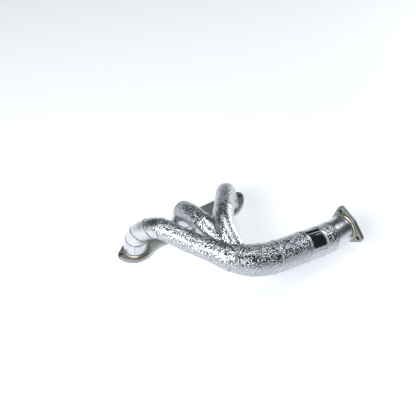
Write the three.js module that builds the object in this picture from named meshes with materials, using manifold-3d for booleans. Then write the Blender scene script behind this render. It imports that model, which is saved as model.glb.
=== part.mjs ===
// Three-into-one exhaust manifold with an insulated, foil-covered heat shield.
// Millimetres, +Z up. X runs along the head flange, Y points from the collector to the head flange,
// and the gasket face of the head flange lies on Z = 0.

import * as THREE from 'three';
import { mergeVertices } from 'three/addons/utils/BufferGeometryUtils.js';
import loadManifold from 'manifold-3d';

const wasm = await loadManifold();
wasm.setup();

// ---- driving dimensions -------------------------------------------------------------------------

const GAP = 0.3; // clearance between neighbouring pieces
const PORT_PITCH = 118;
const ORIGIN_X = 179.93; // middle of the finished part, measured from the first port
const ORIGIN_Y = -118;

const PLATE_THICKNESS = 10;
const PORT_LIP = 3; // height of the step that the primary tube stands on
const SOCKET_RADIUS = 24;
const BOLT_HOLE_RADIUS = 4.2;
const PORT_SEGMENTS = 24;
const HOLE_SEGMENTS = 12;

const PRIMARY_RADIUS = 18; // outside of the bare primary tube
const OUTLET_RADIUS = 28.3; // outside of the bare outlet pipe
const TUBE_WALL = 1.6;
const PORT_FLARE = 5.4; // how much the primary tube widens at its port
const FLARE_HEIGHT = 58;
const UPRIGHT_HEIGHT = 12; // the tubes leave the plate upright
const TAPER_LENGTH = 97; // from the collector's throat to the full outlet pipe
const NECK_RADIUS = 27; // the outlet pipe narrows a little before its flange
const NECK_FROM = 270;
const NECK_TO = 312;

// Layers over the bare tube, as distances from the tube's outside.
const BLANKET_INSIDE = 0.4;
const BLANKET_OUTSIDE = 1.9;
const FOIL_INSIDE = 2.8;
const FOIL_OUTSIDE = 3.4;

const PRIMARY_SIDES = 12;
const PRIMARY_FOIL_SIDES = 16;
const OUTLET_SIDES = 14;
const OUTLET_FOIL_SIDES = 18;

const WELD_WIDTH = 4.4;
const WELD_HEIGHT = 3.6;
const WELD_SEGMENTS = 24;

const FLANGE_THICKNESS = 9;
const FLANGE_BORE_RADIUS = NECK_RADIUS + 0.6;
const FLANGE_BODY_RADIUS = 34;
const LOBE_DISTANCE = 38.5;
const LOBE_RADIUS = 9.5;
const FIRST_LOBE_ANGLE = THREE.MathUtils.degToRad(58);
const THIRD = (2 * Math.PI) / 3;

const LABEL_FROM = 208.5; // along the outlet pipe
const LABEL_TO = 243;
const LABEL_FIRST_ANGLE = THREE.MathUtils.degToRad(68);
const LABEL_LAST_ANGLE = THREE.MathUtils.degToRad(142);
const LABEL_THICKNESS = 0.7;
const LABEL_FRAME_WIDTH = 2.4;
const FRAME_THICKNESS = 1;
const LABEL_FACETS = 8;

// ---- materials ----------------------------------------------------------------------------------

function metal(color, roughness, metalness = 1) {
  return new THREE.MeshStandardMaterial({ color, roughness, metalness });
}

const plateSteel = metal(0xa9abaa, 0.42);
const tubeSteel = metal(0x9c9c98, 0.38);
const weldMetal = metal(0xa88a5c, 0.4);
const foilSteel = metal(0xc9ced4, 0.28);
const frameSteel = metal(0xb9bec4, 0.3);
const blanketFibre = metal(0xe6e1d5, 0.95, 0);
const labelBlack = metal(0x15171b, 0.22, 0);

// ---- routes of the tubes ------------------------------------------------------------------------

// Primary tubes start inside the head flange; their first points hold them upright there.
function primaryRoute(port, points) {
  const x = port * PORT_PITCH;
  const foot = [PORT_LIP + GAP, PLATE_THICKNESS, PLATE_THICKNESS + UPRIGHT_HEIGHT];
  const upright = foot.map((z) => new THREE.Vector3(x, 0, z));
  const bent = points.map(([px, py, pz]) => new THREE.Vector3(px, py, pz + PLATE_THICKNESS));
  return prepareRoute([...upright, ...bent]);
}

// A route knows its length and the level direction to the left of its overall heading.
function prepareRoute(points) {
  const curve = new THREE.CatmullRomCurve3(points, false, 'centripetal');
  curve.arcLengthDivisions = 400;
  const heading = points[points.length - 1].clone().sub(points[0]);
  const left = new THREE.Vector3(0, 0, 1).cross(heading).normalize();
  return { curve, left, length: curve.getLength() };
}

// Distances along a primary tube are counted from the top of the head flange. Lengths of tube
// are butt-welded at the joints, and sheets of foil meet at the seams.
const PLATE_TOP = PLATE_THICKNESS - PORT_LIP - GAP;

const primaries = [
  {
    route: primaryRoute(0, [[7, -13, 57], [34, -51, 92], [71, -111, 86], [114, -179, 82]]),
    stations: [6, 18, 29, 40, 50, 61, 80, 99, 126, 160, 211],
    joints: [29, 61, 99, 160],
    seams: [40, 61, 99, 126],
  },
  {
    route: primaryRoute(1, [[114, -10, 59], [118, -67, 82], [127, -128, 78], [137, -188, 79]]),
    stations: [6, 15, 24, 39, 54, 69, 88, 112, 128, 142],
    joints: [39, 69, 112],
    seams: [24, 69, 112],
  },
  {
    route: primaryRoute(2, [[225, -11, 58], [188, -58, 83], [148, -113, 95], [135, -178, 77]]),
    stations: [6, 18, 32, 48, 62, 78, 92, 118, 160],
    joints: [32, 62, 92, 118],
    seams: [32, 92, 118],
  },
];

const outletRoute = prepareRoute(
  [
    [93, -146, 84], [112, -176, 81.5], [136, -195, 76], [163, -208, 70],
    [197, -217, 65], [268, -220, 51], [334, -222, 38], [399, -217.5, 33.1],
  ].map(([x, y, z]) => new THREE.Vector3(x, y, z + PLATE_THICKNESS)),
);
const OUTLET_START = 97; // the collector ends here and the outlet pipe begins
const BURIED_END = 3; // tube ends inside the collector stop this far short
const outletStations = [OUTLET_START, 114, 132, 168, 204, 247, 279, 297, outletRoute.length - 16];
const outletSeams = [132, 204, 247, 279]; // the pipe's joints lie under the foil's seams

// ---- radii of the bare tubes --------------------------------------------------------------------

function primaryRadius(distance) {
  const above = distance - PLATE_TOP;
  return PRIMARY_RADIUS + PORT_FLARE * (1 - THREE.MathUtils.smoothstep(above, 0, FLARE_HEIGHT));
}

function outletRadius(distance) {
  const grown = THREE.MathUtils.smoothstep(distance, 0, TAPER_LENGTH);
  const necked = THREE.MathUtils.smoothstep(distance, NECK_FROM, NECK_TO);
  const full = THREE.MathUtils.lerp(PRIMARY_RADIUS, OUTLET_RADIUS, grown);
  return THREE.MathUtils.lerp(full, NECK_RADIUS, necked);
}

// ---- geometry helpers ---------------------------------------------------------------------------

// Centre and cross directions of a route; x is its left side and y its upper side.
function frameAt(route, distance) {
  const along = THREE.MathUtils.clamp(distance / route.length, 0, 1);
  const tangent = route.curve.getTangentAt(along);
  const left = route.left.clone().addScaledVector(tangent, -route.left.dot(tangent)).normalize();
  const over = tangent.clone().cross(left);
  return { centre: route.curve.getPointAt(along), left, over, tangent };
}

function placementAt(route, distance) {
  const { centre, left, over, tangent } = frameAt(route, distance);
  return new THREE.Matrix4().makeBasis(left, over, tangent).setPosition(centre);
}

function circlePoints(radius, sides) {
  return Array.from({ length: sides }, (_, i) => {
    const angle = (i * 2 * Math.PI) / sides;
    return new THREE.Vector2(radius * Math.cos(angle), radius * Math.sin(angle));
  });
}

// Bends a straight extrusion, one unit long per station, onto a route.
// The section is drawn around a bare tube of PRIMARY_RADIUS, and keeps its distance from the
// tube's skin where the tube is wider.
function bendOnto(route, section, stations, tubeRadius) {
  const steps = stations.length - 1;
  const geometry = new THREE.ExtrudeGeometry(section, {
    depth: steps,
    steps,
    bevelEnabled: false,
  });
  const frames = stations.map((distance) => frameAt(route, distance));
  const widening = stations.map((distance) => tubeRadius(distance) - PRIMARY_RADIUS);
  const position = geometry.attributes.position;
  const point = new THREE.Vector3();
  for (let i = 0; i < position.count; i += 1) {
    point.fromBufferAttribute(position, i);
    const station = Math.round(point.z);
    const { centre, left, over } = frames[station];
    const scale = 1 + widening[station] / Math.hypot(point.x, point.y);
    const bent = centre.clone();
    bent.addScaledVector(left, point.x * scale);
    bent.addScaledVector(over, point.y * scale);
    position.setXYZ(i, bent.x, bent.y, bent.z);
  }
  return geometry;
}

// A tube wall between two offsets from the bare tube's outside.
function tubeWall(route, stations, tubeRadius, outside, inside, sides) {
  const section = new THREE.Shape(circlePoints(PRIMARY_RADIUS + outside, sides));
  section.holes.push(new THREE.Path(circlePoints(PRIMARY_RADIUS + inside, sides)));
  return bendOnto(route, section, stations, tubeRadius);
}

// A solid rod as thick as the bare tube plus an offset.
function rod(route, stations, tubeRadius, offset, sides) {
  const section = new THREE.Shape(circlePoints(PRIMARY_RADIUS + offset, sides));
  return bendOnto(route, section, stations, tubeRadius);
}

function toSolid(geometry) {
  const bare = geometry.clone();
  bare.deleteAttribute('normal');
  bare.deleteAttribute('uv');
  const merged = mergeVertices(bare, 1e-4);
  return new wasm.Manifold(new wasm.Mesh({
    numProp: 3,
    vertProperties: new Float32Array(merged.attributes.position.array),
    triVerts: new Uint32Array(merged.index.array),
  }));
}

function toGeometry(solid) {
  const mesh = solid.getMesh();
  const geometry = new THREE.BufferGeometry();
  geometry.setAttribute('position', new THREE.BufferAttribute(new Float32Array(mesh.vertProperties), 3));
  geometry.setIndex(new THREE.BufferAttribute(new Uint32Array(mesh.triVerts), 1));
  const flat = geometry.toNonIndexed();
  flat.computeVertexNormals();
  return flat;
}

function joined(geometries) {
  return geometries.map(toSolid).reduce((all, next) => all.add(next));
}

// An outline through corners [x, y, radius], each rounded by about its radius.
function roundedOutline(corners) {
  const outline = new THREE.Shape();
  const at = corners.map(([x, y]) => new THREE.Vector2(x, y));
  corners.forEach(([, , radius], i) => {
    const corner = at[i];
    const before = at[(i + at.length - 1) % at.length].clone().sub(corner).normalize();
    const after = at[(i + 1) % at.length].clone().sub(corner).normalize();
    const reach = radius / Math.tan(Math.acos(before.dot(after)) / 2);
    const start = corner.clone().addScaledVector(before, reach);
    const end = corner.clone().addScaledVector(after, reach);
    if (i === 0) {
      outline.moveTo(start.x, start.y);
    } else {
      outline.lineTo(start.x, start.y);
    }
    outline.quadraticCurveTo(corner.x, corner.y, end.x, end.y);
  });
  outline.closePath();
  return outline;
}

// ---- parts --------------------------------------------------------------------------------------

const manifold = new THREE.Group();
manifold.position.set(-ORIGIN_X, -ORIGIN_Y, 0);

function addPart(name, geometry, material) {
  const mesh = new THREE.Mesh(geometry, material);
  mesh.name = name;
  manifold.add(mesh);
  return mesh;
}

const bolts = [[-35.5, 2], [65, -11.5], [65, 22], [171, -12], [171, 22], [280, 9]];

function headFlangeOutline() {
  return roundedOutline([
    [-34, -18, 40],
    [-12, -32, 28],
    [16, -32, 30],
    [34, -20.5, 28],
    [84, -20.5, 28],
    [100, -32, 30],
    [136, -32, 30],
    [152, -21, 28],
    [202, -21, 28],
    [218, -32, 30],
    [250, -30, 36],
    [279, -12, 40],
    [291, 8, 20],
    [291, 19, 8],
    [275, 30, 20],
    [-14, 30, 40],
    [-45, 4, 10],
  ]);
}

function headFlange() {
  const outline = headFlangeOutline();
  for (let port = 0; port < 3; port += 1) {
    const bore = circlePoints(PRIMARY_RADIUS + PORT_FLARE - TUBE_WALL, PORT_SEGMENTS);
    bore.forEach((point) => { point.x += port * PORT_PITCH; });
    outline.holes.push(new THREE.Path(bore));
  }
  bolts.forEach(([x, y]) => {
    const hole = circlePoints(BOLT_HOLE_RADIUS, HOLE_SEGMENTS);
    hole.forEach((point) => point.add(new THREE.Vector2(x, y)));
    outline.holes.push(new THREE.Path(hole));
  });
  const plate = new THREE.ExtrudeGeometry(outline, {
    depth: PLATE_THICKNESS,
    bevelEnabled: false,
    curveSegments: 5,
  });
  let solid = toSolid(plate);
  for (let port = 0; port < 3; port += 1) {
    const socket = new THREE.CylinderGeometry(SOCKET_RADIUS, SOCKET_RADIUS, PLATE_THICKNESS, PORT_SEGMENTS);
    socket.rotateX(Math.PI / 2);
    socket.rotateZ(Math.PI / 2);
    socket.translate(port * PORT_PITCH, 0, PORT_LIP + PLATE_THICKNESS / 2);
    solid = solid.subtract(toSolid(socket));
  }
  return toGeometry(solid);
}

// A fillet weld around a tube that stands on z = 0, its wide side on the plate.
function weldBead(innerRadius) {
  const profile = [
    [innerRadius, GAP],
    [innerRadius + WELD_WIDTH, GAP],
    [innerRadius + WELD_WIDTH * 0.9, WELD_HEIGHT * 0.5],
    [innerRadius + WELD_WIDTH * 0.5, WELD_HEIGHT * 0.9],
    [innerRadius, WELD_HEIGHT],
    [innerRadius, GAP],
  ];
  const bead = new THREE.LatheGeometry(profile.map(([x, y]) => new THREE.Vector2(x, y)), WELD_SEGMENTS);
  bead.rotateX(Math.PI / 2);
  return bead;
}

function addPrimary({ route, stations, joints, seams }, number) {
  const shifted = stations.map((distance) => distance + PLATE_TOP);
  const upper = shifted.filter((distance) => distance > PLATE_TOP + 5);
  const tubeStations = [0, PLATE_TOP, ...upper];
  const tubeCuts = [0, ...joints.map((distance) => distance + PLATE_TOP), shifted.at(-1)];
  const tube = { outside: 0, inside: -TUBE_WALL, sides: PRIMARY_SIDES, material: tubeSteel };
  addSegments(`primary_tube_${number}_segment`, route, tubeStations, tubeCuts, primaryRadius, tube);

  const blanket = tubeWall(route, shifted, primaryRadius, BLANKET_OUTSIDE, BLANKET_INSIDE, PRIMARY_SIDES);
  addPart(`blanket_${number}`, blanket, blanketFibre);

  const cuts = [shifted[0], ...seams.map((distance) => distance + PLATE_TOP), shifted.at(-1)];
  const foil = { outside: FOIL_OUTSIDE, inside: FOIL_INSIDE, sides: PRIMARY_FOIL_SIDES, material: foilSteel };
  addSegments(`foil_${number}_segment`, route, shifted, cuts, primaryRadius, foil);

  const bead = weldBead(SOCKET_RADIUS);
  bead.translate((number - 1) * PORT_PITCH, 0, PLATE_THICKNESS);
  addPart(`port_weld_${number}`, bead, weldMetal);
}

// A layer of tube or foil in segments that meet at the cuts, a gap apart.
function addSegments(name, route, stations, cuts, tubeRadius, { outside, inside, sides, material }) {
  const last = cuts.length - 2;
  for (let i = 0; i <= last; i += 1) {
    const start = i === 0 ? cuts[0] : cuts[i] + GAP / 2;
    const end = i === last ? cuts[i + 1] : cuts[i + 1] - GAP / 2;
    const between = stations.filter((distance) => distance > cuts[i] && distance < cuts[i + 1]);
    const wall = tubeWall(route, [start, ...between, end], tubeRadius, outside, inside, sides);
    addPart(`${name}_${i + 1}`, wall, material);
  }
}

// One layer of the collector: the ends of the three primaries run into the outlet.
// The hollows reach further than the shells at every buried end, so that no end touches a wall.
function collectorLayer(outside, inside, primarySides, outletSides) {
  const middles = [18, 34, 50, 66, 82];
  const shells = [
    rod(outletRoute, [BURIED_END, ...middles, OUTLET_START - GAP], outletRadius, outside, outletSides),
  ];
  const hollows = [
    rod(outletRoute, [0, ...middles, OUTLET_START + 2], outletRadius, inside, outletSides),
  ];
  primaries.forEach(({ route, stations }) => {
    const start = stations.at(-1) + PLATE_TOP + GAP;
    const legs = [1, 2, 3, 4].map((i) => start + (i * (route.length - start)) / 5);
    const shellReach = [start, ...legs, route.length - BURIED_END];
    shells.push(rod(route, shellReach, primaryRadius, outside, primarySides));
    const boreReach = [start - 2, start, ...legs, route.length];
    hollows.push(rod(route, boreReach, primaryRadius, inside, primarySides));
  });
  return toGeometry(joined(shells).subtract(joined(hollows)));
}

function addCollector() {
  addPart('collector', collectorLayer(0, -TUBE_WALL, PRIMARY_SIDES, OUTLET_SIDES), tubeSteel);
  const blanket = collectorLayer(BLANKET_OUTSIDE, BLANKET_INSIDE, PRIMARY_SIDES, OUTLET_SIDES);
  addPart('collector_blanket', blanket, blanketFibre);
  const foil = collectorLayer(FOIL_OUTSIDE, FOIL_INSIDE, PRIMARY_FOIL_SIDES, OUTLET_FOIL_SIDES);
  addPart('collector_foil', foil, foilSteel);
}

function outletFlangeOutline() {
  const outline = new THREE.Shape();
  const tangentAngle = Math.acos((FLANGE_BODY_RADIUS - LOBE_RADIUS) / LOBE_DISTANCE);
  for (let lobe = 0; lobe < 3; lobe += 1) {
    const angle = FIRST_LOBE_ANGLE + lobe * THIRD;
    const x = LOBE_DISTANCE * Math.cos(angle);
    const y = LOBE_DISTANCE * Math.sin(angle);
    outline.absarc(x, y, LOBE_RADIUS, angle - tangentAngle, angle + tangentAngle);
    outline.absarc(0, 0, FLANGE_BODY_RADIUS, angle + tangentAngle, angle + THIRD - tangentAngle);
  }
  outline.closePath();
  return outline;
}

function outletFlange() {
  const outline = outletFlangeOutline();
  outline.holes.push(new THREE.Path(circlePoints(FLANGE_BORE_RADIUS, PORT_SEGMENTS)));
  for (let lobe = 0; lobe < 3; lobe += 1) {
    const angle = FIRST_LOBE_ANGLE + lobe * THIRD;
    const centre = new THREE.Vector2(Math.cos(angle), Math.sin(angle)).multiplyScalar(LOBE_DISTANCE);
    const hole = circlePoints(BOLT_HOLE_RADIUS, HOLE_SEGMENTS);
    hole.forEach((point) => point.add(centre));
    outline.holes.push(new THREE.Path(hole));
  }
  const flange = new THREE.ExtrudeGeometry(outline, {
    depth: FLANGE_THICKNESS,
    bevelEnabled: false,
    curveSegments: 6,
  });
  flange.translate(0, 0, -FLANGE_THICKNESS);
  return flange;
}

function addOutlet() {
  const pipeEnd = outletRoute.length - 1;
  const pipeStations = [...outletStations, pipeEnd];
  const pipeCuts = [OUTLET_START, ...outletSeams, pipeEnd];
  const pipe = { outside: 0, inside: -TUBE_WALL, sides: OUTLET_SIDES, material: tubeSteel };
  addSegments('outlet_pipe_segment', outletRoute, pipeStations, pipeCuts, outletRadius, pipe);

  const blanket = tubeWall(
    outletRoute, outletStations, outletRadius, BLANKET_OUTSIDE, BLANKET_INSIDE, OUTLET_SIDES,
  );
  addPart('outlet_blanket', blanket, blanketFibre);

  const cuts = [OUTLET_START, ...outletSeams, outletStations.at(-1)];
  const foil = { outside: FOIL_OUTSIDE, inside: FOIL_INSIDE, sides: OUTLET_FOIL_SIDES, material: foilSteel };
  addSegments('outlet_foil_segment', outletRoute, outletStations, cuts, outletRadius, foil);

  const face = placementAt(outletRoute, outletRoute.length);
  addPart('outlet_flange', outletFlange().applyMatrix4(face), plateSteel);

  const bead = weldBead(FLANGE_BORE_RADIUS);
  bead.rotateX(Math.PI);
  bead.translate(0, 0, -FLANGE_THICKNESS);
  addPart('outlet_weld', bead.applyMatrix4(face), weldMetal);
}

// A patch of the outlet pipe's curved surface, standing proud of the foil.
function curvedPatch(from, to, angles, lift, thickness) {
  const around = (radius) => angles.map((angle) => (
    new THREE.Vector2(radius * Math.cos(angle), radius * Math.sin(angle))
  ));
  const base = PRIMARY_RADIUS + FOIL_OUTSIDE + lift;
  const section = new THREE.Shape([...around(base + thickness), ...around(base).reverse()]);
  return bendOnto(outletRoute, section, [from, (from + to) / 2, to], outletRadius);
}

// Moves the first and last angle outwards by a distance along the foil.
function widened(angles, distance) {
  const turn = distance / (OUTLET_RADIUS + FOIL_OUTSIDE);
  return [angles[0] - turn, ...angles.slice(1, -1), angles.at(-1) + turn];
}

// The frame is a wider patch with a window, whose facets line up with the label plate's.
function labelFrame(plateAngles) {
  const windowAngles = widened(plateAngles, GAP);
  const turn = LABEL_FRAME_WIDTH / (OUTLET_RADIUS + FOIL_OUTSIDE);
  const rimAngles = [windowAngles[0] - turn, ...windowAngles, windowAngles.at(-1) + turn];
  const margin = LABEL_FRAME_WIDTH + GAP;
  const rim = curvedPatch(LABEL_FROM - margin, LABEL_TO + margin, rimAngles, GAP, FRAME_THICKNESS);
  const window = curvedPatch(LABEL_FROM - GAP, LABEL_TO + GAP, windowAngles, -1, FRAME_THICKNESS + 3);
  return toGeometry(toSolid(rim).subtract(toSolid(window)));
}

function addLabel() {
  const turn = (LABEL_LAST_ANGLE - LABEL_FIRST_ANGLE) / LABEL_FACETS;
  const angles = Array.from({ length: LABEL_FACETS + 1 }, (_, i) => LABEL_FIRST_ANGLE + i * turn);
  addPart('label_plate', curvedPatch(LABEL_FROM, LABEL_TO, angles, GAP, LABEL_THICKNESS), labelBlack);
  addPart('label_frame', labelFrame(angles), frameSteel);
}

addPart('head_flange', headFlange(), plateSteel);
primaries.forEach((primary, i) => addPrimary(primary, i + 1));
addCollector();
addOutlet();
addLabel();

export default manifold;
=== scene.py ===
# %% [markdown]
# # A three-into-one exhaust manifold in an embossed foil jacket
#
# The real part is a welded steel header. Three primary tubes rise from a laser-cut head
# flange, merge in a collector, and leave through one outlet pipe that ends in a small
# three-bolt flange. A fibre blanket and a skin of embossed foil cover all the tubes.
#
# The CAD model already fixes every size, so this lesson builds each visible piece around it
# in the same place: the foil as fine swept meshes, the flanges as rounded plates, and the
# welds as rippled rings.

import math

import bmesh
import bpy
import numpy as np
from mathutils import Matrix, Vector
from mathutils.geometry import delaunay_2d_cdt


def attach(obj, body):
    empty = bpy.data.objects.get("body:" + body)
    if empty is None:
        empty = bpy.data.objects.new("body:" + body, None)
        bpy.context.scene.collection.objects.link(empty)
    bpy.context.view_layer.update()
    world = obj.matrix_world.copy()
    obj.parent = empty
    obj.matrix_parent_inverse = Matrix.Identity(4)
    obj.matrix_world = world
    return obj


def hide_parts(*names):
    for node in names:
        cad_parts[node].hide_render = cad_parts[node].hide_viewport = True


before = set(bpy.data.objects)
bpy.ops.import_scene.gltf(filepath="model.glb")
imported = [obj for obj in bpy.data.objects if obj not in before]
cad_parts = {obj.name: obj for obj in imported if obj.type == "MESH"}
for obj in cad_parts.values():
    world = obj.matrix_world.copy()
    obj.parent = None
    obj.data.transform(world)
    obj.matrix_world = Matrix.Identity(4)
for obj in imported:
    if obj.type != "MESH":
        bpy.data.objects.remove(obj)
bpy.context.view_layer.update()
print("CAD nodes:", len(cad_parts))

# %% [markdown]
# ## The sizes that the pieces share
#
# A tube's foil can only sit right if it follows the tube's own centre line. The CAD source
# gives each line as a few points, so the same points are written here, in millimetres from
# the first port. One function moves finished vertices into the part's frame, in metres.

# %% Shared sizes in millimetres
MM = 0.001
ORIGIN = np.array([179.93, -118.0, 0.0])
PORT_PITCH = 118.0
PLATE_THICKNESS = 10.0
PORT_LIP = 3.0
SOCKET_RADIUS = 24.0
HOLE_RADIUS = 4.2
GAP = 0.3
PRIMARY_RADIUS = 18.0
OUTLET_RADIUS = 28.3
NECK_RADIUS = 27.0
PORT_FLARE = 5.4
FLARE_HEIGHT = 58.0
TUBE_WALL = 1.6
FOIL_INSIDE = 2.4
FOIL_OUTSIDE = 3.4
PLATE_TOP = PLATE_THICKNESS - PORT_LIP - GAP


def in_part_frame(points):
    return (np.asarray(points, float) - ORIGIN) * MM


def around(count):
    """Angles all the way round, evenly spaced."""
    return np.arange(count) * 2 * np.pi / count


def smoothstep(value, low, high):
    t = np.clip((np.asarray(value, float) - low) / (high - low), 0, 1)
    return t * t * (3 - 2 * t)


# %% [markdown]
# ## Centre lines
#
# A bent tube is a circle carried along a curve. A Bezier curve object with a bevel could do
# that, but the foil needs its own radius, dents and seams at every spot, so a small class
# samples the curve and answers two questions at any distance: where the centre is, and which
# way is left and over. The foil, the tube inside it and the weld at its foot then all agree.

# %% Routes
class Route:
    """A smooth centre line through points, measured by distance along it."""

    def __init__(self, points):
        points = np.array(points, float)
        guides = np.vstack([2 * points[0] - points[1], points, 2 * points[-1] - points[-2]])
        samples = []
        for a, b, c, d in zip(guides, guides[1:], guides[2:], guides[3:]):
            before, span, after = (np.linalg.norm(q - p) ** 0.5 for p, q in ((a, b), (b, c), (c, d)))
            leave = ((b - a) / before - (c - a) / (before + span) + (c - b) / span) * span
            arrive = ((c - b) / span - (d - b) / (span + after) + (d - c) / after) * span
            t = np.linspace(0, 1, 160, endpoint=False)[:, None]
            bend = -3 * b + 3 * c - 2 * leave - arrive
            samples.append(b + leave * t + bend * t**2 + (2 * b - 2 * c + leave + arrive) * t**3)
        self.samples = np.vstack([*samples, points[-1:]])
        steps = np.linalg.norm(np.diff(self.samples, axis=0), axis=1)
        self.reached = np.concatenate([[0.0], np.cumsum(steps)])
        self.length = self.reached[-1]
        left = np.cross([0.0, 0.0, 1.0], points[-1] - points[0])
        self.left = left / np.linalg.norm(left)

    def centre(self, distance):
        return np.stack([np.interp(distance, self.reached, self.samples[:, k]) for k in range(3)], -1)

    def at(self, distance):
        """Centre, left, over and tangent at each distance. Past an end the line runs on straight."""
        distance = np.asarray(distance, float)
        held = np.clip(distance, 0, self.length)
        near = np.clip(held, 0.6, self.length - 0.6)
        tangent = self.centre(near + 0.6) - self.centre(near - 0.6)
        tangent /= np.linalg.norm(tangent, axis=-1, keepdims=True)
        left = self.left - (tangent @ self.left)[..., None] * tangent
        left /= np.linalg.norm(left, axis=-1, keepdims=True)
        over = np.cross(tangent, left)
        centre = self.centre(held) + tangent * (distance - held)[..., None]
        return centre, left, over, tangent

    def points(self, distance, angle, radius):
        """Points around the line, given by distance, angle and radius."""
        centre, left, over, _ = self.at(distance)
        across = np.cos(angle)[..., None] * left + np.sin(angle)[..., None] * over
        return centre + across * np.asarray(radius)[..., None]


def primary_route(port, points):
    x = port * PORT_PITCH
    foot = [(x, 0, PORT_LIP + GAP), (x, 0, PLATE_THICKNESS), (x, 0, PLATE_THICKNESS + 12)]
    return Route(foot + [(px, py, pz + PLATE_THICKNESS) for px, py, pz in points])


primary_routes = [
    primary_route(0, [(7, -13, 57), (34, -51, 92), (71, -111, 86), (114, -179, 82)]),
    primary_route(1, [(114, -10, 59), (118, -67, 82), (127, -128, 78), (137, -188, 79)]),
    primary_route(2, [(225, -11, 58), (188, -58, 83), (148, -113, 95), (135, -178, 77)]),
]
outlet_route = Route([
    (93, -146, 94), (112, -176, 91.5), (136, -195, 86), (163, -208, 80),
    (197, -217, 75), (268, -220, 61), (334, -222, 48), (399, -217.5, 43.1),
])


def primary_radius(distance):
    return PRIMARY_RADIUS + PORT_FLARE * (1 - smoothstep(np.asarray(distance) - PLATE_TOP, 0, FLARE_HEIGHT))


def outlet_radius(distance):
    full = PRIMARY_RADIUS + (OUTLET_RADIUS - PRIMARY_RADIUS) * smoothstep(distance, 0, 97)
    return full + (NECK_RADIUS - full) * smoothstep(distance, 270, 312)


print("tube lengths:", [round(float(r.length), 1) for r in (*primary_routes, outlet_route)])

# %% [markdown]
# ## Repeatable unevenness
#
# Hand-laid foil is never even: it has shallow dents where a thumb pressed it, and the pattern
# rolled into the sheet lifts it by a fraction of a millimetre. Blender's texture modifiers
# could push the surface about, but two small numpy functions give the same numbers on every
# run and can be faded out near a seam: a soft noise for dents, and a cell noise for pebbles.

# %% Noise
def scattered(cells, seed):
    """A repeatable number from 0 to 1 for each whole-numbered cell."""
    mixed = cells[..., 0] * 73856093 ^ cells[..., 1] * 19349663 ^ cells[..., 2] * 83492791
    mixed = (mixed ^ seed * 668265263) & 0x7FFFFFFF
    mixed = (mixed ^ mixed >> 13) * 1274126177 & 0x7FFFFFFF
    mixed = (mixed ^ mixed >> 15) * 739391 & 0x7FFFFFFF
    return (mixed ^ mixed >> 11 & 0xFFFF) % 65521 / 65521.0


def dents(points, size, seed):
    """Soft noise from -1 to 1 whose bumps are about size across."""
    scaled = points / size
    cell = np.floor(scaled).astype(np.int64)
    part = scaled - cell
    part = part * part * (3 - 2 * part)
    total = 0.0
    for corner in np.ndindex(2, 2, 2):
        share = np.prod(np.where(corner, part, 1 - part), axis=-1)
        total = total + share * scattered(cell + corner, seed)
    return total * 2 - 1


def pebbles(points, size, seed):
    """Rounded cells about size across: 1 on a cell's crown and 0 in the valleys between cells."""
    scaled = points / size
    cell = np.floor(scaled).astype(np.int64)
    nearest = np.full(points.shape[:-1], 9.0)
    second = nearest.copy()
    for step in np.ndindex(3, 3, 3):
        at = cell + step - 1
        seeds = np.stack([scattered(at, seed + k) for k in range(3)], -1)
        away = np.linalg.norm(at + seeds - scaled, axis=-1)
        second = np.minimum(second, np.maximum(nearest, away))
        nearest = np.minimum(nearest, away)
    return smoothstep(second - nearest, 0.0, 0.55)


print("noise sample:", dents(np.array([[1.0, 2.0, 3.0]]), 7.0, 1))

# %% [markdown]
# ## Writing shader maths as sums
#
# A material's node tree is easier to read as an expression than as a web of wires. The class
# below wraps one socket, so that `mask * 0.5 + 0.1` adds the two Math nodes it needs. Every
# other kind of node comes from one method, which sets the node up and then its inputs.

# %% Shader helper
class Wire:
    """One output socket, usable in sums."""

    def __init__(self, finish, socket):
        self.finish = finish
        self.socket = socket

    def maths(self, operation, *terms):
        return self.finish.node("ShaderNodeMath", {"operation": operation}, dict(enumerate(terms)))

    def __add__(self, other):
        return self.maths("ADD", self, other)

    def __sub__(self, other):
        return self.maths("SUBTRACT", self, other)

    def __rsub__(self, other):
        return self.maths("SUBTRACT", other, self)

    def __mul__(self, other):
        return self.maths("MULTIPLY", self, other)

    __radd__ = __add__
    __rmul__ = __mul__


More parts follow.
